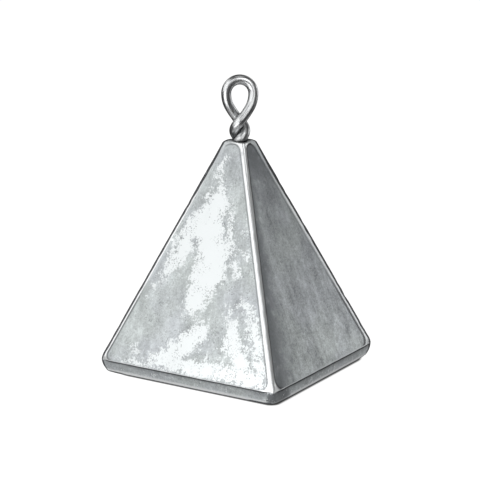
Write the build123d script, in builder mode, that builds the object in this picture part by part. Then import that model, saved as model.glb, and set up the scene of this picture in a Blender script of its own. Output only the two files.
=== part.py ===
from build123d import *
from math import atan2, cos, hypot, pi, sin, sqrt, tan
import os

# A pyramid surf sinker: a cast lead pyramid with one bent wire eye cast into it.
# Millimetres, +Z up, origin at the middle of the underside, sides along X and Y.

# Lead pyramid
base_width = 31.0  # across the flats at the ridge, before it is rounded
body_height = 34.9  # underside to flat top
band_height = 1.9  # underside to the ridge above the base band
band_inset = 0.4  # draft of the band: how far each side draws in down to its foot
top_width = 3.6  # across the flats at the top, before its rim is rounded
band_foot_corner_radius = 1.8
corner_radius = 0.7  # the four sloping corners, the same all the way up
ridge_round = 0.5
top_round = 1.0
top_corner_rest = 0.02  # least radius that the rounded rim leaves on the flat top's corners
underside_chamfer = 0.2  # broken edge between the band's foot and the underside

# Shallow panel sunk in each sloping face
panel_depth = 0.15
panel_side_margin = 0.15  # flat strip left beside the rounded corner
panel_foot_margin = 0.06  # flat strip left above the rounded ridge
panel_head_margin = 0.15  # flat strip left below the rounded rim of the top
panel_foot_radius = 1.3
panel_head_radius = 0.6
panel_wall_draft = 45.0  # degrees

# Dimple that the cooling lead leaves round the wire
dimple_width = 2.2
dimple_depth = 0.5

# Dish that the trimmed pouring gate leaves under the base
gate_width = 9.0
gate_depth = 0.35

# Wire eye
wire_diameter = 1.5
strand_gap = 0.08  # clear space between the twisted strands
twist_pitch = 5.6  # height of one full turn of the twist
twist_quarter_turns = 4  # from the crossing that closes the eye down to the tails
crossing_height = 2.85  # flat top of the lead to that crossing
eye_opening_width = 2.5
eye_drop = 4.0  # middle of the eye's round top down to the crossing
eye_turn = 45.0  # degrees: the eye stands along the diagonal of the base
tail_length = 5.0

os.makedirs("parts", exist_ok=True)

# Levels and radii of the wire's middle line
wire_radius = wire_diameter / 2
twist_radius = (wire_diameter + strand_gap) / 2
eye_radius = (eye_opening_width + wire_diameter) / 2
crossing_level = body_height + crossing_height
eye_level = crossing_level + eye_drop
twist_slope = 2 * pi * twist_radius / twist_pitch


def twist_station(quarter_turns):
    """Place and upward direction of the front strand, so far below the crossing."""
    angle = -(quarter_turns + 1) * pi / 2
    level = crossing_level - quarter_turns * twist_pitch / 4
    place = Vector(twist_radius * cos(angle), twist_radius * sin(angle), level)
    direction = Vector(-twist_slope * sin(angle), twist_slope * cos(angle), 1)
    return place, direction.normalized()


def half_turned(station):
    """The same station on the other strand, where the wire runs back down."""
    place, direction = station
    other_place = Vector(-place.X, -place.Y, place.Z)
    return other_place, Vector(direction.X, direction.Y, -direction.Z)


def turned(station):
    """A station of the eye's own frame, turned about the upright axis."""
    return [vector.rotate(Axis.Z, eye_turn) for vector in station]


def biarc_joint(start, start_direction, end, end_direction):
    """Where two tangent arcs from start to end meet, and their direction there."""
    chord = end - start
    reach = chord.dot(start_direction + end_direction)
    bend = 2 * (1 - start_direction.dot(end_direction))
    arm = (sqrt(reach**2 + bend * chord.dot(chord)) - reach) / bend
    near_corner = start + start_direction * arm
    far_corner = end - end_direction * arm
    return (near_corner + far_corner) / 2, far_corner - near_corner


# The eye leans evenly from its right foot, in front, to its left foot, behind
leg_run = hypot(eye_radius, eye_drop)
quarter_run = eye_radius * pi / 2
lean_slope = twist_radius / (leg_run + quarter_run)
right_side = (
    Vector(eye_radius, -lean_slope * quarter_run, eye_level),
    Vector(0, lean_slope, 1).normalized(),
)
eye_top = (
    Vector(0, 0, eye_level + eye_radius),
    Vector(-1, lean_slope, 0).normalized(),
)
rising_stations = [twist_station(turns) for turns in range(twist_quarter_turns, -1, -1)]
rising_stations.append(right_side)
falling_stations = [half_turned(station) for station in reversed(rising_stations)]
eye_stations = rising_stations + [eye_top] + falling_stations
stations = [turned(station) for station in eye_stations]

# Wire: tail, twist, eye, twist and tail in one unbroken line
with BuildPart() as wire_eye:
    with BuildLine() as wire_line:
        place, direction = stations[0]
        Line(place - direction * tail_length, place)
        for start, end in zip(stations, stations[1:]):
            joint, joint_direction = biarc_joint(*start, *end)
            TangentArc(start[0], joint, tangent=start[1])
            TangentArc(joint, end[0], tangent=joint_direction)
        place, direction = stations[-1]
        Line(place, place + direction * tail_length)
    with BuildSketch(Plane(origin=wire_line.line @ 0, z_dir=wire_line.line % 0)):
        Circle(wire_radius)
    sweep()

# One sloping face, measured up its middle from the ridge
face_inset = (base_width - top_width) / 2
face_rise = body_height - band_height
face_length = hypot(face_inset, face_rise)
face_lean = atan2(face_inset, face_rise)
band_lean = atan2(band_inset, band_height - underside_chamfer)
ridge_round_reach = ridge_round * tan((face_lean + band_lean) / 2)
rim_spread = tan((pi / 2 - face_lean) / 2)
rim_round = min(top_round, (corner_radius - top_corner_rest) / rim_spread)
top_round_reach = rim_round * rim_spread
panel_foot = ridge_round_reach + panel_foot_margin
panel_head = face_length - top_round_reach - panel_head_margin


def panel_half_width(height):
    """Half the panel's width at a height up the face."""
    face_half_width = base_width / 2 - face_inset * height / face_length
    return face_half_width - corner_radius - panel_side_margin


def dish_radius(width, depth):
    """Radius of the sphere that leaves a dish of this width and depth."""
    return (width**2 / 4 + depth**2) / (2 * depth)


# Space of one sunk panel, on the face toward -Y, with rounded corners and a drafted wall
face_plane = Plane(
    origin=(0, -base_width / 2, band_height),
    x_dir=(1, 0, 0),
    z_dir=(0, -face_rise, face_inset),
)
with BuildPart() as panel_space:
    with BuildSketch(face_plane) as panel_outline:
        with BuildLine():
            Polyline(
                (-panel_half_width(panel_foot), panel_foot),
                (panel_half_width(panel_foot), panel_foot),
                (panel_half_width(panel_head), panel_head),
                (-panel_half_width(panel_head), panel_head),
                close=True,
            )
        make_face()
        fillet(panel_outline.vertices().group_by(Axis.Y)[0], panel_foot_radius)
        fillet(panel_outline.vertices().group_by(Axis.Y)[-1], panel_head_radius)
    extrude(amount=-panel_depth, taper=panel_wall_draft)

# Lead: drafted band and pyramid with rounded edges, then what is sunk or cast into it
with BuildPart() as lead_body:
    band_foot_width = base_width - 2 * band_inset
    underside_width = band_foot_width - 2 * underside_chamfer
    for level, width, radius in (
        (0, underside_width, band_foot_corner_radius - underside_chamfer),
        (underside_chamfer, band_foot_width, band_foot_corner_radius),
        (band_height, base_width, corner_radius),
        (body_height, top_width, corner_radius),
    ):
        with BuildSketch(Plane.XY.offset(level)):
            RectangleRounded(width, width, radius)
    loft(ruled=True)
    for level, rounding in ((band_height, ridge_round), (body_height, rim_round)):
        fillet(lead_body.edges().filter_by_position(Axis.Z, level, level), rounding)
    with PolarLocations(radius=0, count=4):
        add(panel_space.part, mode=Mode.SUBTRACT)
    dimple_radius = dish_radius(dimple_width, dimple_depth)
    with Locations((0, 0, body_height - dimple_depth + dimple_radius)):
        Sphere(dimple_radius, mode=Mode.SUBTRACT)
    gate_radius = dish_radius(gate_width, gate_depth)
    with Locations((0, 0, gate_depth - gate_radius)):
        Sphere(gate_radius, mode=Mode.SUBTRACT)
    add(wire_eye.part, mode=Mode.SUBTRACT)

lead_body.part.label = "lead_body"
wire_eye.part.label = "wire_eye"
export_step(lead_body.part, "parts/lead_body.step")
export_step(wire_eye.part, "parts/wire_eye.step")
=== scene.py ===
from collections import namedtuple
from math import atan2, ceil, cos, exp, hypot, pi, radians, sin, sqrt, tan

import bpy
from mathutils import Matrix, Vector, noise


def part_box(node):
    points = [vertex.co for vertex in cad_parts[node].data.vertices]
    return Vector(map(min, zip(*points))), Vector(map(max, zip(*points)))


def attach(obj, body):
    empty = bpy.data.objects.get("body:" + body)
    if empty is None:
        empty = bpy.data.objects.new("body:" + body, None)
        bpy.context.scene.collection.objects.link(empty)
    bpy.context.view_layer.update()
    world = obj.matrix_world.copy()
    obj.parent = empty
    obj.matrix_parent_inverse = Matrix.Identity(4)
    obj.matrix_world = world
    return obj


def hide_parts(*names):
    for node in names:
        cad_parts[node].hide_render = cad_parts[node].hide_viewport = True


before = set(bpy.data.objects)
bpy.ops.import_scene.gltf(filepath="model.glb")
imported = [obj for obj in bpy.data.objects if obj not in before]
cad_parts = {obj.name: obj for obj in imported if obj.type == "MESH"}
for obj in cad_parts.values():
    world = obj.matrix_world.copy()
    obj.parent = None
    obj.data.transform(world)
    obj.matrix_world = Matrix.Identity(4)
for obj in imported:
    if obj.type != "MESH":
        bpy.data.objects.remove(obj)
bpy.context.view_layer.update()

# A pyramid surf sinker: a cast lead pyramid with a twisted wire eye cast into it.
# Lengths here are millimetres; meshes are scaled to metres as they are made.
# Heights on a face run up it from the rounded ridge. Tables by side are for -Y, +X, +Y and
# -X, and tables by half have a row for the sides' left halves and one for the right ones.
# The front corner is the one toward +X -Y.
MM = 0.001
SIDES = 4

# Lead pyramid: reach and height come from the frame, the rest from the casting
_, lead_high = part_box("lead_body")
CREST_HALF = lead_high.x / MM
BODY_HEIGHT = lead_high.z / MM
CREST_LEVEL = 1.915  # where the rounded ridge is widest
FACE_LEAN = atan2(13.7, 33.0)  # from the inset and the rise of a sloping face
BAND_LEAN = atan2(0.4, 1.7)  # and of the band below the ridge
RIDGE_ROUND = 0.5
TOP_ROUND = 0.7
FOOT_ROUND = 0.36
CORNER_RADIUS = 0.45
FOOT_CORNER_RADIUS = 1.3
TOP_CORNER_SHARE = 0.92  # corner radius of the flat top, as a share of its half width
RIM_CORNER_LIMIT = 0.95  # most that share may be on the rounded rim

# Corners of the base: knocked rounder at the ridge and worn away at the foot
BASE_CORNER_ROUND = 2.5
BASE_CORNER_REACH = 1.17  # above and below the ridge
BASE_CORNER_FADE = (2.6, 0.3)  # ways round from the corner
FOOT_SINK = (0.08, 0.05, 0.14, 0.14)  # corners from -X -Y round
FOOT_SINK_TOP = 1.15

# Sunk panel of each sloping face
PANEL_DEPTH = 0.07
PANEL_WALL = 0.26
PANEL_MARGIN = ((0.42, 0.1, 0.3, 0.3), (0.32, 1.05, 0.3, 0.3))  # flat strip beside it, by half
PANEL_FOOT = -0.12
PANEL_FOOT_RADIUS = ((1.3, 2.2, 1.6, 1.6), (1.7, 2.0, 1.6, 1.6))  # by half
PANEL_HEAD_MARGIN = 0.1
PANEL_HEAD_RADIUS = 1.0

# Top, sunk round the wire
DIMPLE_WIDTH = 2.7
DIMPLE_DEPTH = 0.6
DIMPLE_MIDDLE = (0.2, -0.3)  # the lead shrank most on the front side of the wire
SHRUNK_DEPTH = 0.2  # and a little more close to each strand
SHRUNK_WIDTH = 0.25
DIMPLE_SHADE = (0.05, 0.25)  # depths of the dimple over which painted shade fills it
STRAND_SHADE = (0.45, 0.25)  # and gaps to the wire
TOP_DIP = 0.2  # slope of the top toward its front corner
TOP_DIP_START = 0.1

# Underside, with the dish that the trimmed pouring gate leaves
GATE_WIDTH = 9.0
GATE_DEPTH = 0.35
TORN_WAVES = ((0.12, 1.4), (0.07, 3.1))  # depth and scale
TORN_START = (0, 0.12)  # depths of the dish over which they set in
# Painted shade in the gate dish
GATE_SHADE = 0.5
GATE_SHADE_START = (0, 0.2)
UNDER_WAVE = 0.02
UNDER_WAVE_SCALE = 0.3
UNDER_EDGE = (14.5, 12.5)  # ways out over which the wave sets in
UNDER_RUB = (0.45, 0.4)  # middle and sway
UNDER_RUB_SCALE = 0.2

# Unevenness of the cast sides: depth, scale and shift of each wave
CASTING_WAVES = ((0.03, 0.11, (0, 0, 0)), (0.012, 0.45, (9, 4, 2)))

# Small dents on the sloping corners, the faces and the ridge: count, radii and depths
DENT_SEED = 17
DENT_HEIGHT = (0.04, 0.94)  # shares of the face's length
CORNER_DENTS = 30
CORNER_DENT = ((0.45, 0.95), (0.02, 0.07))
CORNER_DENT_INSET = 0.3
FACE_DENTS = 26
FACE_DENT = ((0.7, 2.0), (0.02, 0.055))
FACE_DENT_ACROSS = (-0.8, 0.8)  # shares of the half width
RIDGE_DENTS = 24
RIDGE_DENT = ((0.4, 0.9), (0.03, 0.09))
RIDGE_DENT_ACROSS = (-0.95, 0.95)
RIDGE_DENT_INSET = 0.1
DENT_CUTOFF = 5  # squared share of its radius where a dent ends

# Wire eye, on the same line as its solid
_, wire_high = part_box("wire_eye")
WIRE_RADIUS = 0.75
TWIST_RADIUS = 0.79
TWIST_PITCH = 5.6
TWIST_QUARTER_TURNS = 4
EYE_RADIUS = 2.0
EYE_DROP = 4.0
TAIL_LENGTH = 5.0
EYE_TURN = radians(45)
EYE_LEVEL = wire_high.z / MM - WIRE_RADIUS - EYE_RADIUS
CROSSING_LEVEL = EYE_LEVEL - EYE_DROP
CLOSING_RISE = 0.8  # height over which the strands fill out
STRAND_CLEARANCE = 0.003  # what they leave free beside the twist's axis
WIRE_STEP = 0.13
WIRE_SPOKES = 32
TWIST_SHADE = (1.6, -0.4)  # heights above the crossing over which painted shade sets in
TWIST_SHADE_INNER = (0.9, 0.3)  # and ways out from the axis
SOCKET_SHADE = (0.25, -0.35)  # heights above the lead

# Where handling has rubbed the front face bright: strokes of (across, up the face, radius)
FRONT_RUBS = (
    ((-0.4, 28.8, 0.5), (-0.5, 26.2, 2.0), (-0.4, 22.5, 3.7), (0.9, 19.5, 3.2),
     (1.0, 16.5, 2.7), (0.3, 13.6, 2.8), (-0.3, 11.6, 2.2), (-1.1, 9.8, 1.3)),
    ((-3.3, 22.5, 1.6), (-4.6, 19.5, 1.7), (-5.4, 16.5, 1.5), (-7.2, 14.0, 0.6)),
    ((-8.3, 12.4, 0.25), (-9.3, 10.6, 0.3)),
    ((0.8, 8.2, 0.5), (1.2, 6.3, 1.9), (-0.6, 4.2, 1.9), (-3.0, 2.6, 1.2), (-6.4, 1.0, 0.5)),
    ((-11.6, 0.2, 0.3), (-8.0, 0.4, 0.5), (-6.0, 0.8, 0.6), (0.0, 1.4, 1.4),
     (6.0, 1.6, 1.6), (12.6, 1.2, 1.2)),
    ((-9.9, 2.5, 0.25), (-9.2, 1.9, 0.45)),
    ((5.6, 10.4, 0.4), (6.6, 8.0, 0.8), (7.0, 5.5, 1.5), (9.3, 3.4, 1.6)),
    ((8.2, 11.4, 0.5), (10.0, 8.5, 0.9), (11.6, 4.6, 0.9), (12.4, 2.4, 1.0)),
    ((-0.9, 32.4, 0.25), (-1.1, 31.0, 0.35), (-1.6, 29.9, 0.3)),
    ((5.2, 22.4, 0.3), (5.2, 21.2, 0.3)),
    ((6.6, 18.6, 0.25), (6.6, 17.8, 0.25)),
    ((5.0, 16.9, 0.3), (5.6, 15.4, 0.25)),
)
FRONT_DULLS = (
    ((1.5, 23.8, 0.45), (2.2, 21.0, 0.45)),
    ((2.6, 4.0, 0.6), (5.4, 3.6, 0.9)),
    ((3.9, 8.3, 0.8), (4.0, 7.0, 0.7)),
)
RUB_SOFTNESS = 1.8
RUB_LIFT = (0, -1.2, -0.1, -0.06)  # how much of each other face is rubbed, in clouds
RUB_CLOUD = (0.16, 0.1, 7.3)  # their scale across, up and by side
RUB_DETAIL = 0.45
RUB_DETAIL_SCALE = 2.3
RUB_CONTRAST = 0.9

# Painted shade lines along the panels' edges, by half
LINE = ((0.8, 1.0, 0.5, 0.4), (0.15, 0.9, 0.4, 0.4))
LINE_TOP = ((14.0, 60.0, 24.0, 16.0), (24.0, 14.0, 20.0, 16.0))  # height where it has faded
LINE_FADE = 0.6  # share of that height where it starts to fade
LINE_BESIDE = (-1.1, -0.6)  # where it sets in, as shares of the foot's radius
LINE_WIDTH = (0.13, 0.19, 0.16, 0.16)  # by side
LINE_INSET = 0.08
HEAD_LINE = 0.5
HEAD_LINE_START = (0.8, 0.2)  # below the head of the panel

# Worn strips beside the panels, partly painted highlight, by half, and grain and stain with
# painted shade inside them, by side.
# Each sets in over an edge, given as distances to the panel's outline.
STRIP_WEAR_AND_HIGHLIGHT = ((1.0, 1.0, 0.8, 0.8), (1.0, 0.48, 0.8, 0.8))
STRIP_WEAR_AND_HIGHLIGHT_EDGE = (-0.02, 0.1)
GRAIN = (1.0, 1.6, 1.2, 1.2)
GRAIN_EDGE = (0, -0.5)
STAIN_AND_SHADE = (0.02, 0.95, 0.5, 0.35)
STAIN_AND_SHADE_EDGE = (0.05, -0.1)
STAIN_AND_SHADE_DROP = 13.5  # how far the stain and painted shade below the wire runs down
STAIN_AND_SHADE_BELOW_WIRE = 1.15
STAIN_AND_SHADE_BESIDE = 0.94
STAIN_AND_SHADE_BESIDE_FADE = (0.6, 0.1)  # shares of the half width, from the left corner

# Painted shade, wear and painted highlights on the ridge, the band and its foot, by side
# Painted shade below the ridge and on the ridge's lower half
CREST_SHADE = (0.8, 1.0, 0.8, 0.8)  # below the ridge
CREST_SHADE_DROP = 0.3
CREST_SHADE_TILT = (0.32, 0.37, 0.32, 0.32)  # tilt of the rounded ridge where it ends
CREST_SHADE_FADE = 0.24
CREST_WEAR_AND_HIGHLIGHT_START = (-0.17, 0.04)  # tilts past that
CREST_WEAR_AND_HIGHLIGHT_EDGE = (-0.3, 0.1)  # distances to the panel's outline
# Painted shade on the band, darkest just below the ridge
BAND_SHADE = 0.5
BAND_SHADE_DROP = 0.7
# Painted highlight line along the band
BAND_HIGHLIGHT = 0.95
BAND_HIGHLIGHT_LEVEL = (0.46, 0.38, 0.46, 0.46)
BAND_HIGHLIGHT_WIDTH = 0.15
BAND_RUB = 0.3
BAND_GRAIN = 1.3
BAND_GRAIN_SCALE = (0.3, 12)  # drawn out along the band
# Wear with painted highlight on the foot
FOOT_WEAR_AND_HIGHLIGHT = 0.6
FOOT_WEAR_AND_HIGHLIGHT_TILT = (-0.6, -0.3)
# Painted shade under the rounded foot
FOOT_SHADE_TILT = (-0.22, -0.45, -0.22, -0.22)  # tilt of the rounded foot where it starts
FOOT_SHADE_FADE = 0.12
FOOT_CORNER_FADE = (4.5, 2.5)  # ways round from a corner where it climbs
FOOT_CORNER_CLIMB = 0.6
RIM_WEAR = 0.2  # away from the front corner, where it is 1
RIM_WEAR_TILT = (1.45, 1.1)
CORNER_FADE = (1.3, 0.5)  # ways round from any corner

# The two sides and ends that meet at the front corner, and how far painted shade darkens the
# band there
FRONT_SHADE_REACH = {(0, 1): 1.3, (1, -1): 6.0}
FRONT_SHADE = 0.9
FRONT_SHADE_EDGE = 0.5  # share of its reach where it is full
# Painted shade line along the band at the front corner
FRONT_CREASE = 0.35

# Painted dark outline shade along the corners toward -X -Y and +X +Y
OUTLINE_SHADE = 0.95
OUTLINE_SHADE_END = (-1, 1, -1, 1)  # the end of each side that it is on
OUTLINE_SHADE_REACH = (0.47, 0.78, 0.22, 0.2)
OUTLINE_SHADE_EDGE = (1.15, 0.95)  # shares of its reach over which it sets in
OUTLINE_SHADE_BAND_SHARE = 1.5  # wider on the band
OUTLINE_SHADE_HEAD_GROWTH = 0.35  # and toward the top
OUTLINE_SHADE_HEAD = (23, 33)  # heights over which it grows and dulls the strip beside it
OUTLINE_SHADE_DULLING = 0.8
OUTLINE_SHADE_WANDER = 0.16  # share of its reach
OUTLINE_SHADE_WANDER_SCALE = 0.9
OUTLINE_SHADE_WANDER_SHIFT = 5.0  # from side to side

# Points round one side of the lead, and rows up it
CORNER_STEPS = 9
FLAT_STEPS = 46
NEAR_CORNER = (  # places on the flat, from where the rounded corner ends
    0, 0.08, 0.14, 0.2, 0.26, 0.32, 0.38, 0.45, 0.52, 0.6, 0.68, 0.76, 0.86, 1.0,
    1.25, 1.5, 1.8, 2.1, 2.4, 2.7, 3.0, 3.4,
)
FULL_FLAT = 3.7  # half flat below which those places close up
NEAR_FOOT = (  # heights on the face, across the foot of its panel
    0, 0.03, 0.06, 0.1, 0.14, 0.18, 0.22, 0.26, 0.31, 0.38, 0.48, 0.6, 0.75, 0.95, 1.2,
)
NEAR_HEAD = (0.9, 0.7, 0.55, 0.43, 0.35, 0.29, 0.24, 0.19, 0.14, 0.08, 0)  # from its top down
ROW_COUNT = {"under": 40, "foot": 7, "band": 12, "ridge": 9, "face": 84, "rim": 12, "top": 14}
UNDER_MIDDLE = 0.02  # share inside the innermost row
TOP_MIDDLE = 0.03
SIDE_SHIFT = 40  # keeps the sides' marks apart

# A column round a side, a row up the lead, and a point on both
Column = namedtuple("Column", "angle end gap")
Row = namedtuple("Row", "part half radius level tilt height", defaults=(0,))
Spot = namedtuple("Spot", "side end across gap at_corner seam dulled")


def smoothstep(low, high, value):
    """Zero at low, one at high and smooth between them; low may be the larger one."""
    share = min(max((value - low) / (high - low), 0), 1)
    return share * share * (3 - 2 * share)


def spread(start, end, count):
    """Evenly spaced values from start to end, both of them included."""
    return [start + (end - start) * index / (count - 1) for index in range(count)]


def between(first, second, share):
    """The value a share of the way from first to second."""
    return first + (second - first) * share


def bell(value, width):
    """One at zero, falling away smoothly on both sides."""
    return exp(-((value / width) ** 2))


def clamped(value, limit):
    """The value, kept from minus the limit to the limit."""
    return min(max(value, -limit), limit)


def drawn(low, high):
    """A random value from low to high."""
    return low + (high - low) * noise.random()


def by_half(table, side, across):
    """The entry of a table for the half of a side that a place is on."""
    return table[across >= 0][side]


# Lead mesh: columns round it and rows up it


def side_columns():
    """Columns round one side: angle on the corner, which end of the flat, place on the flat."""
    quarter = pi / 4
    columns = [Column(angle, -1, 0) for angle in spread(-quarter, 0, CORNER_STEPS)[:-1]]
    columns += [Column(0, -1, gap) for gap in NEAR_CORNER]
    columns += [Column(0, 0, share) for share in spread(-1, 1, FLAT_STEPS)[1:-1]]
    columns += [Column(0, 1, gap) for gap in reversed(NEAR_CORNER)]
    columns += [Column(angle, 1, 0) for angle in spread(0, quarter, CORNER_STEPS)[1:-1]]
    return columns


def ring_point(column, half, radius):
    """Across and outward place of a column on a rounded square."""
    angle, end, gap = column
    flat = half - radius
    shrink = min(1, flat / FULL_FLAT)
    if angle:
        return end * flat + radius * sin(angle), flat + radius * cos(angle)
    if end:
        return end * (flat - gap * shrink), half
    return gap * (flat - NEAR_CORNER[-1] * shrink), half


def corner_gap(column, radius):
    """Way round from the middle of the nearest corner to a column, or far off."""
    angle, end, gap = column
    if not end:
        return CREST_HALF
    return radius * (pi / 4 - abs(angle)) + gap


def ridge_point(tilt):
    """Half width and level of the rounded ridge at a tilt."""
    half = CREST_HALF - RIDGE_ROUND + RIDGE_ROUND * cos(tilt)
    return half, CREST_LEVEL + RIDGE_ROUND * sin(tilt)


# The sloping face, from the rounded ridge to the rounded rim of the top
FACE_HALF, FACE_LEVEL = ridge_point(FACE_LEAN)
RIM_LEVEL = BODY_HEIGHT - TOP_ROUND + TOP_ROUND * sin(FACE_LEAN)
FACE_LENGTH = (RIM_LEVEL - FACE_LEVEL) / cos(FACE_LEAN)
RIM_HALF = FACE_HALF - FACE_LENGTH * sin(FACE_LEAN)
TOP_HALF = RIM_HALF - TOP_ROUND * cos(FACE_LEAN)
PANEL_HEAD = FACE_LENGTH - PANEL_HEAD_MARGIN


def face_half(height):
    """Half the width of a side at a height up its face."""
    return FACE_HALF - height * sin(FACE_LEAN)


def face_level(height):
    """Level of a height up the face."""
    return FACE_LEVEL + height * cos(FACE_LEAN)


def face_heights():
    """Heights up the face, close together across the panel's foot and head."""
    middle = spread(NEAR_FOOT[-1], FACE_LENGTH - NEAR_HEAD[0], ROW_COUNT["face"])[1:-1]
    return list(NEAR_FOOT) + middle + [FACE_LENGTH - gap for gap in NEAR_HEAD]


def lead_rows():
    """Rows of points from the underside's middle to the top's."""
    rows = []
    band_top_half, band_top_level = ridge_point(-BAND_LEAN)
    foot_level = FOOT_ROUND * (1 - sin(BAND_LEAN))
    foot_half = band_top_half - (band_top_level - foot_level) * tan(BAND_LEAN)
    under_half = foot_half - FOOT_ROUND * cos(BAND_LEAN)
    for share in spread(UNDER_MIDDLE, 1, ROW_COUNT["under"])[:-1]:
        rows.append(Row("under", under_half * share, FOOT_CORNER_RADIUS * share, 0, -pi / 2))
    for tilt in spread(-pi / 2, -BAND_LEAN, ROW_COUNT["foot"]):
        half = under_half + FOOT_ROUND * cos(tilt)
        level = FOOT_ROUND * (1 + sin(tilt))
        rows.append(Row("foot", half, FOOT_CORNER_RADIUS, level, tilt))
    for share in spread(0, 1, ROW_COUNT["band"])[1:]:
        half = between(foot_half, band_top_half, share)
        radius = between(FOOT_CORNER_RADIUS, CORNER_RADIUS, share)
        level = between(foot_level, band_top_level, share)
        rows.append(Row("band", half, radius, level, -BAND_LEAN))
    for tilt in spread(-BAND_LEAN, FACE_LEAN, ROW_COUNT["ridge"])[1:]:
        half, level = ridge_point(tilt)
        height = RIDGE_ROUND * (tilt - FACE_LEAN)
        rows.append(Row("ridge", half, CORNER_RADIUS, level, tilt, height))
    for height in face_heights()[1:]:
        half, level = face_half(height), face_level(height)
        rows.append(Row("face", half, CORNER_RADIUS, level, FACE_LEAN, height))
    for share in spread(0, 1, ROW_COUNT["rim"])[1:]:
        tilt = between(FACE_LEAN, pi / 2, share)
        half = TOP_HALF + TOP_ROUND * cos(tilt)
        radius = between(CORNER_RADIUS, TOP_CORNER_SHARE * TOP_HALF, share)
        level = BODY_HEIGHT - TOP_ROUND + TOP_ROUND * sin(tilt)
        rows.append(Row("rim", half, min(radius, RIM_CORNER_LIMIT * half), level, tilt))
    for share in spread(1, TOP_MIDDLE, ROW_COUNT["top"])[1:]:
        half = TOP_HALF * share
        rows.append(Row("top", half, TOP_CORNER_SHARE * half, BODY_HEIGHT, pi / 2))
    return rows


def turned(across, outward, side):
    """X and Y of a place on a side: side 0 faces -Y, and the rest follow anticlockwise."""
    x, y = across, -outward
    for _ in range(side):
        x, y = -y, x
    return x, y


# Lead mesh: what is sunk into it


def rounded_meeting(first, second, radius):
    """Signed distance to the rounded corner between two edges; inside is negative."""
    if first > -radius and second > -radius:
        return hypot(first + radius, second + radius) - radius
    return max(first, second)


def panel_edge_distance(side, across, height):
    """Signed distance on a face to the nearer upright edge of its panel; inside is negative."""
    margin = by_half(PANEL_MARGIN, side, across)
    half = face_half(height) - CORNER_RADIUS - margin
    return (abs(across) - half) * cos(FACE_LEAN)


def panel_distance(side, across, height):
    """Signed distance on a face to the outline of its sunk panel; inside is negative."""
    upright = panel_edge_distance(side, across, height)
    foot_radius = by_half(PANEL_FOOT_RADIUS, side, across)
    foot = rounded_meeting(upright, PANEL_FOOT - height, foot_radius)
    head = rounded_meeting(upright, height - PANEL_HEAD, PANEL_HEAD_RADIUS)
    return max(foot, head)


def casting_waves(place):
    """Gentle unevenness of a cast face, always inward."""
    sink = 0
    for depth, scale, shift in CASTING_WAVES:
        sink += depth * (0.5 + 0.5 * noise.noise(place * scale + Vector(shift)))
    return sink


def base_corner_sink(level, spot):
    """How much is knocked off where a sloping corner meets the ridge, and off its foot."""
    reach = max(0, BASE_CORNER_REACH - abs(level - CREST_LEVEL))
    corner = (spot.side + (spot.end > 0)) % SIDES
    foot = FOOT_SINK[corner] * max(0, 1 - level / FOOT_SINK_TOP) ** 2
    return smoothstep(*BASE_CORNER_FADE, spot.gap) * (reach**2 / (2 * BASE_CORNER_ROUND) + foot)


def knocks():
    """Small dents on corners, faces and ridge: (place, radius, depth)."""
    noise.seed_set(DENT_SEED)
    found = []
    for index in range(CORNER_DENTS + FACE_DENTS):
        height = FACE_LENGTH * drawn(*DENT_HEIGHT)
        half = face_half(height)
        if index < CORNER_DENTS:
            limits = CORNER_DENT
            across = outward = half - CORNER_DENT_INSET
        else:
            limits = FACE_DENT
            across, outward = half * drawn(*FACE_DENT_ACROSS), half
        place = Vector((*turned(across, outward, index % SIDES), face_level(height)))
        found.append((place, *(drawn(low, high) for low, high in limits)))
    for index in range(RIDGE_DENTS):
        across, outward = CREST_HALF * drawn(*RIDGE_DENT_ACROSS), CREST_HALF - RIDGE_DENT_INSET
        place = Vector((*turned(across, outward, index % SIDES), CREST_LEVEL))
        found.append((place, *(drawn(low, high) for low, high in RIDGE_DENT)))
    return found


def outside_sink(place, row, spot, dents):
    """How far a point of the outside lies inside the plain shape."""
    sink = 0
    if row.part in ("face", "ridge"):
        distance = panel_distance(spot.side, spot.across, row.height)
        sink = PANEL_DEPTH * smoothstep(0, PANEL_WALL, -distance)
    sink += casting_waves(place) + base_corner_sink(row.level, spot)
    for centre, reach, depth in dents:
        away = (place - centre).length_squared / reach**2
        if away < DENT_CUTOFF:
            sink += depth * exp(-away)
    return sink


def dish_sink(width, depth, away):
    """Depth of a round dish this far from its middle."""
    return depth * max(0, 1 - (2 * away / width) ** 2)


def strand_gap(place):
    """Level distance from a place near the top to the nearer strand's surface."""
    turns = (CROSSING_LEVEL - place.z) / (TWIST_PITCH / 4) + 1
    angle = EYE_TURN - turns * pi / 2
    x, y = TWIST_RADIUS * cos(angle), TWIST_RADIUS * sin(angle)
    return min(hypot(place.x - x, place.y - y), hypot(place.x + x, place.y + y)) - WIRE_RADIUS


def sink_top(place):
    """Sinks a point of the top or its rim round the wire, and gives the painted shade in the
    dimple and beside the strands.
    """
    middle_x, middle_y = DIMPLE_MIDDLE
    away = hypot(place.x - middle_x, place.y - middle_y)
    hollow = dish_sink(DIMPLE_WIDTH, DIMPLE_DEPTH, away)
    toward_front = (place.x - place.y) / sqrt(2)
    dip = TOP_DIP * max(0, toward_front - TOP_DIP_START)
    to_strand = strand_gap(place)
    shrunk = SHRUNK_DEPTH * bell(max(to_strand, 0), SHRUNK_WIDTH)
    place.z = min(place.z, BODY_HEIGHT - dip - hollow) - shrunk
    painted_shade = max(smoothstep(*DIMPLE_SHADE, hollow), smoothstep(*STRAND_SHADE, to_strand))
    return {"hollow": painted_shade}


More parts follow.
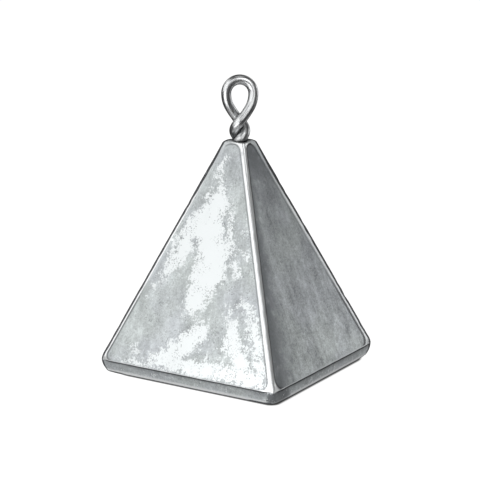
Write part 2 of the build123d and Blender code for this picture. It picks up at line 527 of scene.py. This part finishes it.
def sink_underside(place):
    """Moves a point of the underside into the torn gate dish, and gives the painted shade in
    the dish and the rubbing there.
    """
    away = hypot(place.x, place.y)
    hollow = dish_sink(GATE_WIDTH, GATE_DEPTH, away)
    torn = sum(depth * noise.noise(place * scale) for depth, scale in TORN_WAVES)
    place.z = max(hollow + torn * smoothstep(*TORN_START, hollow), 0)
    wave = UNDER_WAVE * (1 + noise.noise(place * UNDER_WAVE_SCALE))
    place.z += wave * smoothstep(*UNDER_EDGE, away)
    middle, sway = UNDER_RUB
    return {
        "hollow": GATE_SHADE * smoothstep(*GATE_SHADE_START, hollow),
        "rub": middle + sway * noise.noise(place * UNDER_RUB_SCALE),
    }


# Lead mesh: the marks that its material reads


def stroke_reach(stroke, across, height):
    """How far a place lies inside a tapering stroke; negative outside."""
    reaches = []
    for (x0, y0, r0), (x1, y1, r1) in zip(stroke, stroke[1:]):
        run = (x1 - x0) ** 2 + (y1 - y0) ** 2
        share = ((across - x0) * (x1 - x0) + (height - y0) * (y1 - y0)) / run
        share = min(max(share, 0), 1)
        away = hypot(across - between(x0, x1, share), height - between(y0, y1, share))
        reaches.append(between(r0, r1, share) - away)
    return max(reaches)


def rubbed(side, across, height):
    """How bright handling has rubbed a place on a face: half at the edge of a patch."""
    if side == 0:
        inside = max(stroke_reach(stroke, across, height) for stroke in FRONT_RUBS)
        dulled = max(stroke_reach(stroke, across, height) for stroke in FRONT_DULLS)
        return 0.5 + clamped(min(inside, -dulled) / RUB_SOFTNESS, 1) / 2
    scale_across, scale_up, shift = RUB_CLOUD
    place = Vector((across * scale_across, height * scale_up, side * shift))
    clouded = noise.noise(place) + RUB_DETAIL * noise.noise(place * RUB_DETAIL_SCALE)
    return 0.5 + clamped((clouded + RUB_LIFT[side]) * RUB_CONTRAST, 0.5)


def stained_and_shaded(side, across, height):
    """How dark a face is stained and painted with shade: most beside its left corner and below
    the wire.
    """
    half = face_half(height)
    beside = STAIN_AND_SHADE_BESIDE * smoothstep(*STAIN_AND_SHADE_BESIDE_FADE, (half + across) / half)
    below_wire = STAIN_AND_SHADE_BELOW_WIRE * exp(-(FACE_LENGTH - height) / STAIN_AND_SHADE_DROP)
    return STAIN_AND_SHADE[side] * min(max(beside, below_wire), 1)


def edge_line(side, across, height):
    """Strength of the painted shade line at the edge of a panel: it fades up the face and along
    the foot.
    """
    strength = by_half(LINE, side, across)
    top = by_half(LINE_TOP, side, across)
    radius = by_half(PANEL_FOOT_RADIUS, side, across)
    upright = panel_edge_distance(side, across, height)
    start, full = LINE_BESIDE
    beside = smoothstep(start * radius, full * radius, upright)
    fading = smoothstep(top, LINE_FADE * top, height)
    start, full = HEAD_LINE_START
    head = HEAD_LINE * smoothstep(PANEL_HEAD - start, PANEL_HEAD - full, height)
    return max(strength * beside * fading, head)


def front_corner_shade(spot):
    """How dark the painted shade on the band is where it turns the front corner."""
    reach = FRONT_SHADE_REACH.get((spot.side, spot.end))
    if not reach:
        return 0
    return FRONT_SHADE * smoothstep(reach, FRONT_SHADE_EDGE * reach, spot.gap)


def painted_outline_shade(row, side, end, gap):
    """Strength of the painted outline shade at a point, and how much it dulls the strip beside
    it.
    """
    if end != OUTLINE_SHADE_END[side]:
        return 0, 0
    dulled = 1 if row.part in ("rim", "top") else smoothstep(*OUTLINE_SHADE_HEAD, row.height)
    on_band = row.part in ("band", "foot")
    reach = OUTLINE_SHADE_REACH[side] * (OUTLINE_SHADE_BAND_SHARE if on_band else 1 + OUTLINE_SHADE_HEAD_GROWTH * dulled)
    wander = noise.noise(Vector((OUTLINE_SHADE_WANDER_SCALE * row.level, OUTLINE_SHADE_WANDER_SHIFT * side, 0)))
    reach *= 1 + OUTLINE_SHADE_WANDER * wander
    start, full = OUTLINE_SHADE_EDGE
    return OUTLINE_SHADE * smoothstep(start * reach, full * reach, gap), dulled


def face_marks(row, spot):
    """Painted shade along the panel's edge and the outline corners, wear with painted highlight
    beside it, and rubs, stain with painted shade, and grain inside it.
    """
    place = (spot.side, spot.across, row.height)
    distance = panel_distance(*place)
    line = edge_line(*place) * bell(distance + LINE_INSET, LINE_WIDTH[spot.side])
    strip = by_half(STRIP_WEAR_AND_HIGHLIGHT, spot.side, spot.across)
    strip *= 1 - OUTLINE_SHADE_DULLING * spot.dulled
    return {
        "crease": max(line, spot.seam),
        "wear": smoothstep(*STRIP_WEAR_AND_HIGHLIGHT_EDGE, distance) * strip,
        "stain": stained_and_shaded(*place) * smoothstep(*STAIN_AND_SHADE_EDGE, distance),
        "rub": rubbed(*place),
        "grain": GRAIN[spot.side] * smoothstep(*GRAIN_EDGE, distance),
    }


def ridge_marks(row, spot):
    """Bright wear with painted highlight over the ridge, and painted shade on its lower half.
    """
    distance = panel_distance(spot.side, spot.across, row.height)
    past = row.tilt - CREST_SHADE_TILT[spot.side]
    ridge_shade = smoothstep(0, -CREST_SHADE_FADE, past) * (1 - spot.at_corner)
    return {
        "wear": smoothstep(*CREST_WEAR_AND_HIGHLIGHT_START, past) * smoothstep(*CREST_WEAR_AND_HIGHLIGHT_EDGE, distance),
        "crease": max(ridge_shade, spot.seam),
        "rub": rubbed(spot.side, spot.across, 0),
    }


def band_marks(row, spot):
    """Painted shade below the ridge and round the front corner, a painted highlight line lower
    down, and grain that runs along the band.
    """
    below = CREST_LEVEL - row.level
    dark_corner = front_corner_shade(spot)
    under_crest = CREST_SHADE[spot.side] * exp(-below / CREST_SHADE_DROP) * (1 - spot.at_corner)
    highlight_line = BAND_HIGHLIGHT * bell(row.level - BAND_HIGHLIGHT_LEVEL[spot.side], BAND_HIGHLIGHT_WIDTH)
    scale_across, scale_up = BAND_GRAIN_SCALE
    return {
        "crease": max(under_crest, spot.seam, FRONT_CREASE * dark_corner),
        "stain": max(BAND_SHADE * exp(-below / BAND_SHADE_DROP), dark_corner),
        "wear": highlight_line * (1 - dark_corner),
        "rub": BAND_RUB,
        "grain": BAND_GRAIN,
        "across": scale_across * spot.across + SIDE_SHIFT * spot.side,
        "up": scale_up * row.level,
    }


def rim_marks(row, spot):
    """Wear on the rounded rim of the top, most of it at the front corner."""
    at_front = spot.at_corner if (spot.side, spot.end) in FRONT_SHADE_REACH else 0
    return {
        "wear": smoothstep(*RIM_WEAR_TILT, row.tilt) * between(RIM_WEAR, 1, at_front),
        "crease": spot.seam,
    }


def foot_marks(row, spot):
    """Painted shade under the rounded foot of the band, further up near the corners, with wear
    and painted highlight above it.
    """
    near_corner = smoothstep(*FOOT_CORNER_FADE, spot.gap)
    clean = (1 - front_corner_shade(spot)) * (1 - near_corner)
    start = FOOT_SHADE_TILT[spot.side] * (1 - FOOT_CORNER_CLIMB * near_corner)
    return {
        "wear": FOOT_WEAR_AND_HIGHLIGHT * smoothstep(*FOOT_WEAR_AND_HIGHLIGHT_TILT, row.tilt) * clean,
        "crease": max(smoothstep(start, start - FOOT_SHADE_FADE, row.tilt), spot.seam),
    }


BLANK_MARKS = {"crease": 0, "wear": 0, "rub": 0, "hollow": 0, "stain": 0, "grain": 0}
PART_MARKS = {
    "face": face_marks, "ridge": ridge_marks, "band": band_marks, "rim": rim_marks,
    "foot": foot_marks,
}


def lead_vertex(row, column, side, dents):
    """One point of the lead and the marks its material reads there."""
    across, outward = ring_point(column, row.half, row.radius)
    gap = corner_gap(column, row.radius)
    at_corner = smoothstep(*CORNER_FADE, gap)
    seam, dulled = painted_outline_shade(row, side, column.end, gap)
    spot = Spot(side, column.end, across, gap, at_corner, seam, dulled)
    marks = {**BLANK_MARKS, "across": across + SIDE_SHIFT * side, "up": row.height}
    place = Vector((*turned(across, outward, side), row.level))
    if row.part in PART_MARKS:
        marks.update(PART_MARKS[row.part](row, spot))
        flat = cos(row.tilt)
        out_x, out_y = turned(sin(column.angle) * flat, cos(column.angle) * flat, side)
        normal = Vector((out_x, out_y, sin(row.tilt)))
        place -= normal * outside_sink(place, row, spot, dents)
    if row.part in ("top", "rim"):
        marks.update(sink_top(place))
    elif row.part == "under":
        marks.update(sink_underside(place))
    return place, marks


def ring_faces(rings, around):
    """Faces between each ring of points and the next one."""
    faces = []
    for ring in range(rings - 1):
        low, high = ring * around, (ring + 1) * around
        for spoke in range(around):
            after = (spoke + 1) % around
            faces.append((low + spoke, low + after, high + after, high + spoke))
    return faces


def new_mesh_object(name, points, faces, marks):
    """A smooth-shaded mesh object, with its marks as point attributes."""
    mesh = bpy.data.meshes.new(name)
    mesh.from_pydata([point * MM for point in points], [], faces)
    for label in marks[0]:
        layer = mesh.attributes.new(label, "FLOAT", "POINT")
        layer.data.foreach_set("value", [entry[label] for entry in marks])
    mesh.shade_smooth()
    mesh.update()
    piece = bpy.data.objects.new(name, mesh)
    bpy.context.scene.collection.objects.link(piece)
    return piece


def build_lead():
    """The lead pyramid as one closed mesh of rounded-square rings."""
    dents = knocks()
    rows = lead_rows()
    columns = side_columns()
    points, marks = [], []
    for row in rows:
        for side in range(SIDES):
            for column in columns:
                place, found = lead_vertex(row, column, side, dents)
                points.append(place)
                marks.append(found)
    around = SIDES * len(columns)
    faces = ring_faces(len(rows), around)
    last = (len(rows) - 1) * around
    under_middle, top_middle = len(points), len(points) + 1
    points += [Vector((0, 0, points[0].z)), Vector((0, 0, BODY_HEIGHT - DIMPLE_DEPTH))]
    marks += [marks[0], marks[last]]
    for spoke in range(around):
        after = (spoke + 1) % around
        faces.append((under_middle, after, spoke))
        faces.append((top_middle, last + spoke, last + after))
    return new_mesh_object("cast_pyramid", points, faces, marks)


# Wire mesh


def twist_station(quarter_turns):
    """Place and upward direction of the front strand, so far below the crossing."""
    angle = -(quarter_turns + 1) * pi / 2
    level = CROSSING_LEVEL - quarter_turns * TWIST_PITCH / 4
    slope = 2 * pi * TWIST_RADIUS / TWIST_PITCH
    place = Vector((TWIST_RADIUS * cos(angle), TWIST_RADIUS * sin(angle), level))
    return place, Vector((-slope * sin(angle), slope * cos(angle), 1)).normalized()


def half_turned(station):
    """The same station on the other strand, where the wire runs back down."""
    place, way = station
    return Vector((-place.x, -place.y, place.z)), Vector((way.x, way.y, -way.z))


def wire_stations():
    """The stations of the wire's middle line: twist, eye and twist again."""
    lean = TWIST_RADIUS / (hypot(EYE_RADIUS, EYE_DROP) + EYE_RADIUS * pi / 2)
    side_place = Vector((EYE_RADIUS, -lean * EYE_RADIUS * pi / 2, EYE_LEVEL))
    side = (side_place, Vector((0, lean, 1)).normalized())
    top = (Vector((0, 0, EYE_LEVEL + EYE_RADIUS)), Vector((-1, lean, 0)).normalized())
    rising = [twist_station(turns) for turns in range(TWIST_QUARTER_TURNS, -1, -1)] + [side]
    return rising + [top] + [half_turned(station) for station in reversed(rising)]


def arc_points(start, way, end):
    """Points on the arc that leaves start along way and ends at end, start left out."""
    chord = end - start
    across = chord - way * chord.dot(way)
    turn = 2 * atan2(across.length, chord.dot(way))
    radius = chord.length / (2 * sin(turn / 2))
    inward = across.normalized()
    count = max(2, ceil(radius * turn / WIRE_STEP))
    turns = [turn * index / count for index in range(1, count + 1)]
    return [start + way * radius * sin(t) + inward * radius * (1 - cos(t)) for t in turns]


def biarc_points(start, start_way, end, end_way):
    """Points along two tangent arcs from one station to the next."""
    chord = end - start
    reach = chord.dot(start_way + end_way)
    bend = 2 * (1 - start_way.dot(end_way))
    arm = (sqrt(reach**2 + bend * chord.dot(chord)) - reach) / bend
    near, far = start + start_way * arm, end - end_way * arm
    middle = (near + far) / 2
    first = arc_points(start, start_way, middle)
    return first + arc_points(middle, (far - near).normalized(), end)


def wire_line():
    """Points along the whole wire, from one buried tail to the other."""
    stations = wire_stations()
    place, way = stations[0]
    line = [place - way * TAIL_LENGTH, place - way * TAIL_LENGTH / 2, place]
    for start, end in zip(stations, stations[1:]):
        line += biarc_points(*start, *end)
    place, way = stations[-1]
    line += [place + way * TAIL_LENGTH / 2, place + way * TAIL_LENGTH]
    turn = Matrix.Rotation(EYE_TURN, 3, "Z")
    return [turn @ point for point in line]


def wire_marks(place, angle, along):
    """Painted shade toward the twist's middle and in the dimple, and a place for drawing lines.
    """
    below = smoothstep(*TWIST_SHADE, place.z - CROSSING_LEVEL)
    inner = smoothstep(*TWIST_SHADE_INNER, hypot(place.x, place.y))
    socket = smoothstep(*SOCKET_SHADE, place.z - BODY_HEIGHT)
    return {
        "painted_shade": max(below * inner, socket),
        "spin_x": cos(angle),
        "spin_y": sin(angle),
        "along": along,
    }


def build_wire():
    """The wire as one closed round tube, marked where shade is painted on it."""
    line = wire_line()
    points, marks = [], []
    normal = Vector((1, 0, 0))
    along = 0
    for index, middle in enumerate(line):
        before = line[max(index - 1, 0)]
        after = line[min(index + 1, len(line) - 1)]
        way = (after - before).normalized()
        normal = (normal - way * normal.dot(way)).normalized()
        other = way.cross(normal)
        along += (middle - before).length
        filled = smoothstep(CROSSING_LEVEL + CLOSING_RISE, CROSSING_LEVEL, middle.z)
        radius = WIRE_RADIUS + filled * (TWIST_RADIUS - WIRE_RADIUS - STRAND_CLEARANCE)
        for spoke in range(WIRE_SPOKES):
            angle = 2 * pi * spoke / WIRE_SPOKES
            place = middle + (normal * cos(angle) + other * sin(angle)) * radius
            points.append(place)
            marks.append(wire_marks(place, angle, along))
    faces = ring_faces(len(line), WIRE_SPOKES)
    last = (len(line) - 1) * WIRE_SPOKES
    faces.append(tuple(reversed(range(WIRE_SPOKES))))
    faces.append(tuple(last + spoke for spoke in range(WIRE_SPOKES)))
    return new_mesh_object("twisted_eye", points, faces, marks)


# Materials

COOL_OXIDE = (0.5, 0.526, 0.545, 1)
GREEN_OXIDE = (0.53, 0.565, 0.562, 1)
# Stain, and painted shade on the right face, below the ridge and at the front corner
STAINED_AND_SHADED_OXIDE = (0.16, 0.17, 0.18, 1)
RUBBED_LEAD = (0.74, 0.77, 0.775, 1)
PITTED_LEAD = (0.24, 0.25, 0.26, 1)
# Wear, and painted highlights on edges, the ridge and the foot
WORN_AND_HIGHLIT_LEAD = (0.86, 0.875, 0.88, 1)
# Painted shade: creases, hollows and the outline corners are darkened toward this colour
LEAD_SHADE = (0.05, 0.052, 0.055, 1)
LEAD_EDGE_TINT = (0.45, 0.45, 0.46, 1)
DULL_STEEL = (0.61, 0.62, 0.63, 1)
BRIGHT_STEEL = (0.72, 0.73, 0.73, 1)
SPOTTED_STEEL = (0.62, 0.62, 0.61, 1)
# Painted shade in the twist and where the wire enters the lead
STEEL_SHADE = (0.03, 0.031, 0.033, 1)
STEEL_EDGE_TINT = (0.08, 0.08, 0.085, 1)


def new_node(tree, kind, inputs=None, **settings):
    """A node with its settings made and its inputs joined or set."""
    node = tree.nodes.new(kind)
    for name, value in settings.items():
        setattr(node, name, value)
    for name, value in (inputs or {}).items():
        if isinstance(value, bpy.types.NodeSocket):
            tree.links.new(value, node.inputs[name])
        else:
            node.inputs[name].default_value = value
    return node


def new_material(name):
    """A new material, its node tree and its shader."""
    material = bpy.data.materials.new(name)
    material.use_nodes = True
    return material, material.node_tree, material.node_tree.nodes["Principled BSDF"]


def maths(tree, operation, first, second=0.0, third=0.0, clamp=False):
    """The result of a Math node."""
    inputs = {0: first, 1: second, 2: third}
    node = new_node(tree, "ShaderNodeMath", inputs, operation=operation, use_clamp=clamp)
    return node.outputs[0]


def times(tree, first, second):
    """The product of two values."""
    return maths(tree, "MULTIPLY", first, second)


def vector_maths(tree, operation, inputs, output="Vector"):
    """The result of a Vector Math node."""
    node = new_node(tree, "ShaderNodeVectorMath", inputs, operation=operation)
    return node.outputs[output]


def joined(tree, **places):
    """A vector from values for X, Y and Z."""
    return new_node(tree, "ShaderNodeCombineXYZ", places).outputs[0]


def mark(tree, name):
    """A mark of the mesh as a value."""
    return new_node(tree, "ShaderNodeAttribute", attribute_name=name).outputs["Fac"]


def object_place(tree):
    """Object coordinates, which are metres."""
    return new_node(tree, "ShaderNodeTexCoord").outputs["Object"]


def millimetres(tree):
    """Object coordinates in millimetres."""
    return vector_maths(tree, "MULTIPLY", {0: object_place(tree), 1: (1 / MM, 1 / MM, 1 / MM)})


def cloud(tree, place, scale, detail=3.0, roughness=0.55):
    """A noise value round one half."""
    inputs = {"Vector": place, "Scale": scale, "Detail": detail, "Roughness": roughness}
    return new_node(tree, "ShaderNodeTexNoise", inputs).outputs["Fac"]


def centred(tree, value, weight):
    """A noise value moved to lie round zero, times a weight."""
    return maths(tree, "MULTIPLY_ADD", value, weight, -weight / 2)


def ramp(tree, value, low, high):
    """Zero to one as value goes smoothly from low to high."""
    inputs = {"Value": value, "From Min": low, "From Max": high}
    node = new_node(tree, "ShaderNodeMapRange", inputs, interpolation_type="SMOOTHSTEP")
    return node.outputs["Result"]


def broken_mark(tree, name, value, low, high):
    """A mark of the mesh, missing where a noise value is low."""
    return times(tree, mark(tree, name), ramp(tree, value, low, high))


def blended(tree, share, first, second):
    """Between two values, by a Mix node's sockets for these."""
    return new_node(tree, "ShaderNodeMix", {0: share, 2: first, 3: second}).outputs[0]


def blended_colour(tree, share, first, second):
    """Between two colours, by a Mix node's sockets for these."""
    inputs = {0: share, 6: first, 7: second}
    return new_node(tree, "ShaderNodeMix", inputs, data_type="RGBA").outputs[2]


def add_bump(tree, shader, height, strength, distance):
    """Gives a shader relief from a height value."""
    inputs = {"Strength": strength, "Distance": distance * MM, "Height": height}
    normal = new_node(tree, "ShaderNodeBump", inputs).outputs["Normal"]
    tree.links.new(normal, shader.inputs["Normal"])


def down_face(tree, across, up, lean):
    """Coordinates for marks that run down the faces, a little aslant."""
    height = mark(tree, "up")
    aslant = maths(tree, "MULTIPLY_ADD", height, lean, mark(tree, "across"))
    return joined(
        tree,
        X=times(tree, aslant, across),
        Y=times(tree, height, up),
    )


def rubbed_patch(tree, middle, mottle, fine):
    """Where the lead is rubbed bright: its rub marks, with ragged and speckled edges."""
    edge = mark(tree, "rub")
    for layer, weight in ((middle, 1.0), (mottle, 1.2), (fine, 1.2)):
        edge = maths(tree, "ADD", edge, centred(tree, layer, weight))
    return ramp(tree, edge, 0.52, 0.57)


def oxide_colour(tree, place, middle, mottle, fine):
    """Grey oxide in two tints, mottled as much as the grain marks say, and darkened by stain
    and painted shade.
    """
    tint = ramp(tree, cloud(tree, place, scale=0.13, detail=2.0), 0.35, 0.65)
    blotches = cloud(tree, place, scale=0.36)
    aslant = down_face(tree, across=0.4, up=0.12, lean=0.04)
    streaks = cloud(tree, aslant, scale=1.0, detail=4.0, roughness=0.62)
    strokes = cloud(tree, down_face(tree, across=0.9, up=0.2, lean=-0.08), scale=1.0)
    layers = ((streaks, 0.8), (mottle, 0.6), (blotches, 0.5), (fine, 0.9), (strokes, 0.3))
    uneven = -0.5 * sum(weight for _, weight in layers)
    for layer, weight in layers:
        uneven = maths(tree, "MULTIPLY_ADD", layer, weight, uneven)
    tone = maths(tree, "MULTIPLY_ADD", uneven, mark(tree, "grain"), 1.0)
    oxide = blended_colour(tree, tint, COOL_OXIDE, GREEN_OXIDE)
    oxide = vector_maths(tree, "SCALE", {0: oxide, "Scale": tone})
    stain = broken_mark(tree, "stain", middle, 0.0, 0.5)
    return blended_colour(tree, stain, oxide, STAINED_AND_SHADED_OXIDE)


def casting_pits(tree, place):
    """Where small dark pits lie, in loose groups."""
    strength = 0.65
    pits = ramp(tree, cloud(tree, place, scale=4.6, detail=1.0), 0.58, 0.66)
    groups = ramp(tree, cloud(tree, place, scale=0.5, detail=2.0), 0.46, 0.6)
    return times(tree, times(tree, pits, strength), groups)


def lead_material():
    """Cast lead: grey oxide with tints, rubbed bright patches, pits, worn edges with painted
    highlights, and painted shade.
    """
    material, tree, shader = new_material("cast_lead")
    shader.inputs["Specular Tint"].default_value = LEAD_EDGE_TINT
    place = millimetres(tree)
    middle = cloud(tree, place, scale=0.6, detail=4.0)
    mottle = cloud(tree, place, scale=1.3, detail=5.0, roughness=0.65)
    fine = cloud(tree, place, scale=3.8, detail=2.0, roughness=0.75)

    patch = rubbed_patch(tree, middle, mottle, fine)
    # Wear and painted highlights brighten edges, the ridge, the foot and a line on the band
    wear = broken_mark(tree, "wear", middle, 0.12, 0.4)
    # Painted shade: creases, outline corners and hollows darken the colour and dull the gloss
    creases = broken_mark(tree, "crease", middle, 0.08, 0.36)
    painted_shade = maths(tree, "MAXIMUM", creases, mark(tree, "hollow"))
    colour = oxide_colour(tree, place, middle, mottle, fine)
    for share, over in (
        (patch, RUBBED_LEAD),
        (casting_pits(tree, place), PITTED_LEAD),
        (wear, WORN_AND_HIGHLIT_LEAD),
        (painted_shade, LEAD_SHADE),
    ):
        colour = blended_colour(tree, share, colour, over)
    tree.links.new(colour, shader.inputs["Base Color"])

    bright = maths(tree, "MAXIMUM", patch, wear)
    dull_roughness = maths(tree, "MULTIPLY_ADD", fine, 0.2, 0.36)
    tree.links.new(blended(tree, bright, dull_roughness, 0.28), shader.inputs["Roughness"])
    metal = maths(tree, "SUBTRACT", blended(tree, bright, 0.65, 0.85), painted_shade, clamp=True)
    tree.links.new(metal, shader.inputs["Metallic"])
    tree.links.new(blended(tree, painted_shade, 0.5, 0.05), shader.inputs["Specular IOR Level"])
    height = maths(tree, "MULTIPLY_ADD", fine, 0.5, times(tree, mottle, 0.8))
    add_bump(tree, shader, height, strength=0.3, distance=0.06)
    return material


def wire_material():
    """Bright drawn steel wire with lines along it and painted shade in the twist."""
    material, tree, shader = new_material("drawn_steel")
    shader.inputs["Specular Tint"].default_value = STEEL_EDGE_TINT
    shader.inputs["Metallic"].default_value = 1.0
    scale_round, scale_along = 3.0, 0.22
    along_wire = joined(
        tree,
        X=times(tree, mark(tree, "spin_x"), scale_round),
        Y=times(tree, mark(tree, "spin_y"), scale_round),
        Z=times(tree, mark(tree, "along"), scale_along),
    )
    lines = cloud(tree, along_wire, scale=1.0)
    spots = cloud(tree, millimetres(tree), scale=1.6)
    # Painted shade in the twist and the socket
    painted_shade = broken_mark(tree, "painted_shade", spots, 0.2, 0.45)
    colour = blended_colour(tree, ramp(tree, lines, 0.3, 0.7), DULL_STEEL, BRIGHT_STEEL)
    colour = blended_colour(tree, ramp(tree, spots, 0.58, 0.75), colour, SPOTTED_STEEL)
    colour = blended_colour(tree, painted_shade, colour, STEEL_SHADE)
    tree.links.new(colour, shader.inputs["Base Color"])
    roughness = maths(tree, "MULTIPLY_ADD", lines, 0.1, 0.25)
    roughness = maths(tree, "MULTIPLY_ADD", painted_shade, 0.4, roughness)
    tree.links.new(roughness, shader.inputs["Roughness"])
    add_bump(tree, shader, lines, strength=0.06, distance=0.008)
    return material


# Stage, light and camera, in metres

FLOOR_SIZE = 3.0
FLOOR_DROP = 0.02 * MM
FLOOR_GREY = 0.3
FLOOR_GLOW = (0.97, 1.04)  # near the object and far from it
FLOOR_FAR = (0.06, 0.2)
SURROUND_RADIUS = 1.45
SURROUND_GLOW = 1.05
BOUNCE_SIZE = 0.06
BOUNCE_DROP = 0.5 * MM
BOUNCE_GLOW = 0.6

# Contact shade painted into the floor's glow: a rounded square on the floor, a little smaller
# than the lead
SHADE_SHIFT = (0.26 * MM, 0.06 * MM, 0)
SHADE_HALF = (CREST_HALF - 0.6) * MM
SHADE_CORNER_RADIUS = 4.5 * MM  # the front corner follows the lead's foot instead
SHADE_FRONT = (CREST_HALF * MM, 1.7 * CREST_HALF * MM)  # X less Y, toward the front corner
SHADE_FADE = (-0.15 * MM, 0.45 * MM)

WORLD_COLOUR = (0.05, 0.05, 0.05, 1)
LIGHT_AIM = Vector((0, 0, 18 * MM))
SOFTBOXES = (  # name, azimuth, elevation, distance, width, height, radiance
    ("key", -35, 28, 0.5, 0.36, 0.5, 1.28),
    ("front", 4, 12, 0.5, 0.36, 0.5, 1.4),
    ("front_floor", 3, -12, 0.085, 0.09, 0.05, 1.85),
    ("high_front", 34, 40, 0.5, 0.18, 0.18, 1.2),
    ("side_front", 57, 18, 0.5, 0.25, 0.25, 1.3),
    ("wire_right", 130, -6, 0.3, 0.12, 0.06, 0.4),
    ("twist", 59, 66, 0.035, 0.008, 0.008, 2.2),
    ("right", 152, 12, 0.4, 0.2, 0.2, 1.5),
    ("right_floor", 151, -12, 0.046, 0.04, 0.016, 0.4),
    ("overhead", 60, 80, 0.5, 0.24, 0.24, 0.6),
    ("side", 92, 37, 0.5, 0.2, 0.16, 0.45),
    ("back", 180, 37, 0.5, 0.3, 0.26, 0.7),
    ("corner_back", 238, 15, 0.5, 0.24, 0.28, 0.45),
    ("left_back", 268, 37, 0.5, 0.3, 0.26, 0.8),
)


def direction(azimuth, elevation):
    """Unit vector toward a place round the object, in degrees; azimuth 0 is toward -Y."""
    a, e = radians(azimuth), radians(elevation)
    return Vector((sin(a) * cos(e), -cos(a) * cos(e), sin(e)))


def glow_material(name, grey, strength):
    """A plain pale stage surface that is lit and glows a little of itself."""
    material, _, shader = new_material(name)
    for socket, value in {
        "Base Color": (grey, grey, grey, 1),
        "Roughness": 1.0,
        "Specular IOR Level": 0.0,
        "Emission Color": (1, 1, 1, 1),
        "Emission Strength": strength,
    }.items():
        shader.inputs[socket].default_value = value
    return material


def open_floor(tree, coordinates):
    """Zero in the contact shade under the object, one outside it."""
    shifted = vector_maths(tree, "SUBTRACT", {0: coordinates, 1: SHADE_SHIFT})
    split = new_node(tree, "ShaderNodeSeparateXYZ", {0: shifted}).outputs
    at_front = ramp(tree, maths(tree, "SUBTRACT", split["X"], split["Y"]), *SHADE_FRONT)
    radius = blended(tree, at_front, SHADE_CORNER_RADIUS, FOOT_CORNER_RADIUS * MM)
    straight = maths(tree, "SUBTRACT", SHADE_HALF, radius)
    past = {}
    for axis in ("X", "Y"):
        gap = maths(tree, "SUBTRACT", maths(tree, "ABSOLUTE", split[axis]), straight)
        past[axis] = maths(tree, "MAXIMUM", gap, 0.0)
    from_corner = vector_maths(tree, "LENGTH", {0: joined(tree, **past)}, "Value")
    return ramp(tree, maths(tree, "SUBTRACT", from_corner, radius), *SHADE_FADE)


def floor_material():
    """A pale floor that glows evenly far off, with a painted contact shade where the object
    stands.
    """
    material = glow_material("pale_floor", FLOOR_GREY, 1.0)
    tree = material.node_tree
    coordinates = object_place(tree)
    away = vector_maths(tree, "LENGTH", {0: coordinates}, "Value")
    glow = blended(tree, ramp(tree, away, *FLOOR_FAR), *FLOOR_GLOW)
    glow = times(tree, glow, open_floor(tree, coordinates))
    tree.links.new(glow, tree.nodes["Principled BSDF"].inputs["Emission Strength"])
    return material


def finished_stage(name, material):
    """The object just added, with its name and material."""
    piece = bpy.context.object
    piece.name = name
    piece.data.materials.append(material)
    return piece


def add_stage():
    """A pale floor and surround that only the camera sees, and a glow that it doesn't see."""
    bpy.ops.mesh.primitive_plane_add(size=FLOOR_SIZE, location=(0, 0, -FLOOR_DROP))
    floor = finished_stage("floor", floor_material())
    bpy.ops.mesh.primitive_uv_sphere_add(segments=48, ring_count=24, radius=SURROUND_RADIUS)
    surround = finished_stage("surround", glow_material("pale_surround", 0.0, SURROUND_GLOW))
    for piece in (floor, surround):
        piece.visible_diffuse = False
        piece.visible_glossy = False
        piece.visible_shadow = False
    bpy.ops.mesh.primitive_plane_add(size=BOUNCE_SIZE, location=(0, 0, -BOUNCE_DROP))
    bounce = finished_stage("bounce", glow_material("dim_bounce", 0.0, BOUNCE_GLOW))
    bounce.visible_camera = False
    bounce.visible_shadow = False


def add_softbox(name, azimuth, elevation, distance, width, height, radiance):
    """A soft rectangular light that faces the object and that the camera doesn't see."""
    light = bpy.data.lights.new(name, "AREA")
    light.shape = "RECTANGLE"
    light.size = width
    light.size_y = height
    light.energy = radiance * pi * width * height
    lamp = bpy.data.objects.new(name, light)
    away = direction(azimuth, elevation)
    lamp.location = away * distance + LIGHT_AIM
    lamp.rotation_euler = away.to_track_quat("Z", "Y").to_euler()
    lamp.visible_camera = False
    bpy.context.scene.collection.objects.link(lamp)


def add_light():
    """Dim surroundings, a broad key from the front left and weaker lights round the rest."""
    world = bpy.data.worlds.new("studio")
    world.use_nodes = True
    world.node_tree.nodes["Background"].inputs["Color"].default_value = WORLD_COLOUR
    bpy.context.scene.world = world
    for softbox in SOFTBOXES:
        add_softbox(*softbox)


def add_camera():
    """The camera where the photograph was taken from, for a square picture."""
    azimuth, elevation = 32.65, 10.42
    away = 165.0
    across, rise = 0.036, -0.549
    aim_level = 20
    pixels_per_mm, picture = 6.54, 480
    back = direction(azimuth, elevation)
    right = Vector((cos(radians(azimuth)), sin(radians(azimuth)), 0))
    up = back.cross(right)
    data = bpy.data.cameras.new("camera")
    data.sensor_width = 36.0
    data.lens = pixels_per_mm * away / picture * data.sensor_width
    data.clip_start = 5 * MM
    camera = bpy.data.objects.new("camera", data)
    place = back * away + right * across + up * rise + Vector((0, 0, aim_level))
    turn = Matrix((right, up, back)).transposed().to_4x4()
    camera.matrix_world = Matrix.Translation(place * MM) @ turn
    bpy.context.scene.collection.objects.link(camera)
    bpy.context.scene.camera = camera


def dress(piece, node, material):
    """Gives a piece its material and lets it stand for its solid."""
    piece.data.materials.append(material)
    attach(piece, "root")
    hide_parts(node)


dress(build_lead(), "lead_body", lead_material())
dress(build_wire(), "wire_eye", wire_material())
add_stage()
add_light()
add_camera()
bpy.context.scene.view_settings.view_transform = "Standard"
